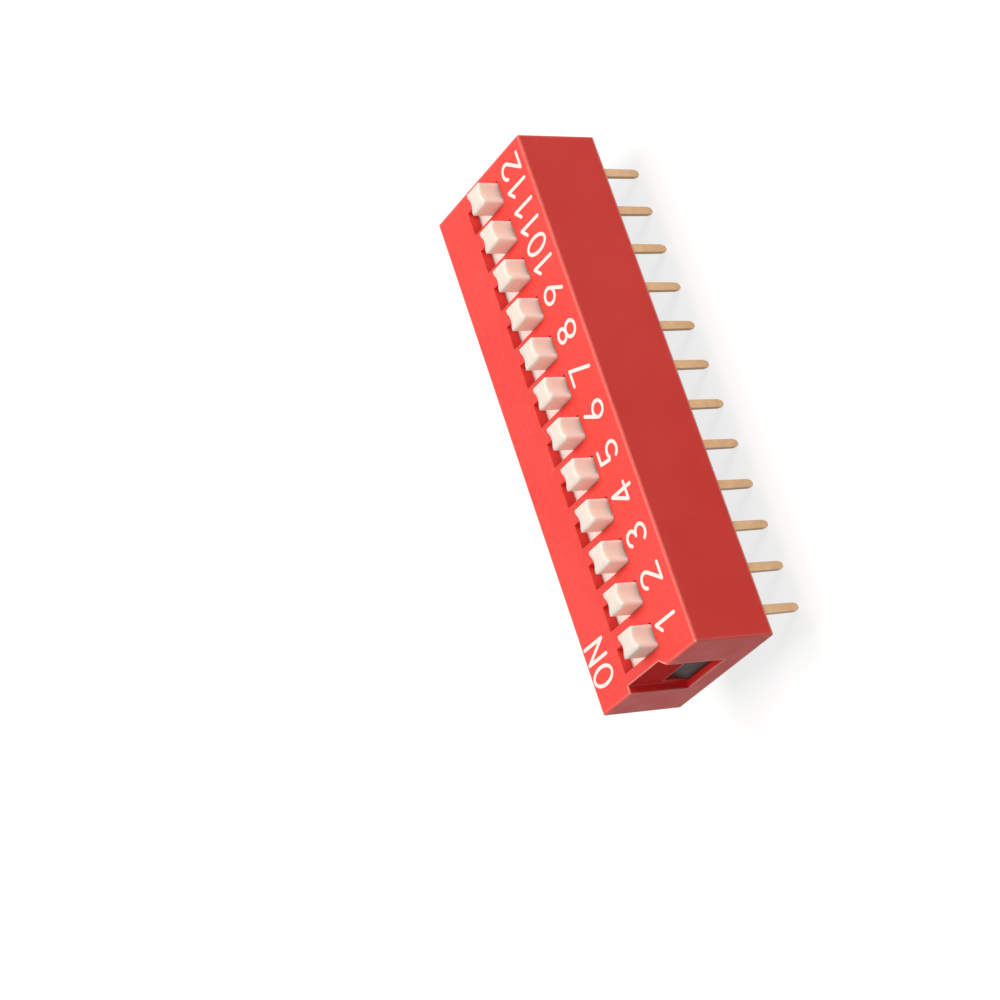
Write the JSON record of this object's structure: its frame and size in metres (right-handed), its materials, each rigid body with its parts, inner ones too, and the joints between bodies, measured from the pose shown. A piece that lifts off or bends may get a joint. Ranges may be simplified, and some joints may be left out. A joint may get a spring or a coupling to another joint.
{
  "type": "dip switch",
  "caption": "Slide DIP switch for a circuit board: raised actuators in a row of slots, a flat boxed cover with a notched end, and two rows of straight flat pins.",
  "frame": {"origin": "middle of the pin grid, on the plane of the base's feet, where the switch sits on the board", "axes": "+X along the row from position 1 to the last position, +Y from the numbers to the ON side, +Z out of the top face"},
  "size_m": [0.0318, 0.0096, 0.0098],
  "materials": {
    "cover_plastic": "satin moulded thermoplastic",
    "base_plastic": "satin moulded thermoplastic",
    "sealing_resin": "cured epoxy, semi-gloss",
    "actuator_plastic": "satin moulded thermoplastic",
    "contact_strip": "gold-flashed spring strip",
    "terminal_metal": "gold-flashed stamped strip",
    "marking_ink": "printed white ink"
  },
  "bodies": {
    "housing": {"cover": "cover_plastic", "base": "base_plastic", "seal": "sealing_resin", "on_terminal_01": "terminal_metal", "on_terminal_02": "terminal_metal", "on_terminal_03": "terminal_metal", "on_terminal_04": "terminal_metal", "on_terminal_05": "terminal_metal", "on_terminal_06": "terminal_metal", "on_terminal_07": "terminal_metal", "on_terminal_08": "terminal_metal", "on_terminal_09": "terminal_metal", "on_terminal_10": "terminal_metal", "on_terminal_11": "terminal_metal", "on_terminal_12": "terminal_metal", "common_terminal_01": "terminal_metal", "common_terminal_02": "terminal_metal", "common_terminal_03": "terminal_metal", "common_terminal_04": "terminal_metal", "common_terminal_05": "terminal_metal", "common_terminal_06": "terminal_metal", "common_terminal_07": "terminal_metal", "common_terminal_08": "terminal_metal", "common_terminal_09": "terminal_metal", "common_terminal_10": "terminal_metal", "common_terminal_11": "terminal_metal", "common_terminal_12": "terminal_metal"},
    "switch_01": {"slider_01": "actuator_plastic", "moving_contact_01": "contact_strip"},
    "switch_02": {"slider_02": "actuator_plastic", "moving_contact_02": "contact_strip"},
    "switch_03": {"slider_03": "actuator_plastic", "moving_contact_03": "contact_strip"},
    "switch_04": {"slider_04": "actuator_plastic", "moving_contact_04": "contact_strip"},
    "switch_05": {"slider_05": "actuator_plastic", "moving_contact_05": "contact_strip"},
    "switch_06": {"slider_06": "actuator_plastic", "moving_contact_06": "contact_strip"},
    "switch_07": {"slider_07": "actuator_plastic", "moving_contact_07": "contact_strip"},
    "switch_08": {"slider_08": "actuator_plastic", "moving_contact_08": "contact_strip"},
    "switch_09": {"slider_09": "actuator_plastic", "moving_contact_09": "contact_strip"},
    "switch_10": {"slider_10": "actuator_plastic", "moving_contact_10": "contact_strip"},
    "switch_11": {"slider_11": "actuator_plastic", "moving_contact_11": "contact_strip"},
    "switch_12": {"slider_12": "actuator_plastic", "moving_contact_12": "contact_strip"}
  },
  "joints": [
    {"name": "switch_01_slide", "type": "slide", "parent": "housing", "child": "switch_01", "axis": [0, 1, 0], "range_m": [0, 0.00185]},
    {"name": "switch_02_slide", "type": "slide", "parent": "housing", "child": "switch_02", "axis": [0, 1, 0], "range_m": [0, 0.00185]},
    {"name": "switch_03_slide", "type": "slide", "parent": "housing", "child": "switch_03", "axis": [0, 1, 0], "range_m": [0, 0.00185]},
    {"name": "switch_04_slide", "type": "slide", "parent": "housing", "child": "switch_04", "axis": [0, 1, 0], "range_m": [0, 0.00185]},
    {"name": "switch_05_slide", "type": "slide", "parent": "housing", "child": "switch_05", "axis": [0, 1, 0], "range_m": [0, 0.00185]},
    {"name": "switch_06_slide", "type": "slide", "parent": "housing", "child": "switch_06", "axis": [0, 1, 0], "range_m": [0, 0.00185]},
    {"name": "switch_07_slide", "type": "slide", "parent": "housing", "child": "switch_07", "axis": [0, 1, 0], "range_m": [0, 0.00185]},
    {"name": "switch_08_slide", "type": "slide", "parent": "housing", "child": "switch_08", "axis": [0, 1, 0], "range_m": [0, 0.00185]},
    {"name": "switch_09_slide", "type": "slide", "parent": "housing", "child": "switch_09", "axis": [0, 1, 0], "range_m": [0, 0.00185]},
    {"name": "switch_10_slide", "type": "slide", "parent": "housing", "child": "switch_10", "axis": [0, 1, 0], "range_m": [0, 0.00185]},
    {"name": "switch_11_slide", "type": "slide", "parent": "housing", "child": "switch_11", "axis": [0, 1, 0], "range_m": [0, 0.00185]},
    {"name": "switch_12_slide", "type": "slide", "parent": "housing", "child": "switch_12", "axis": [0, 1, 0], "range_m": [0, 0.00185]}
  ]
}
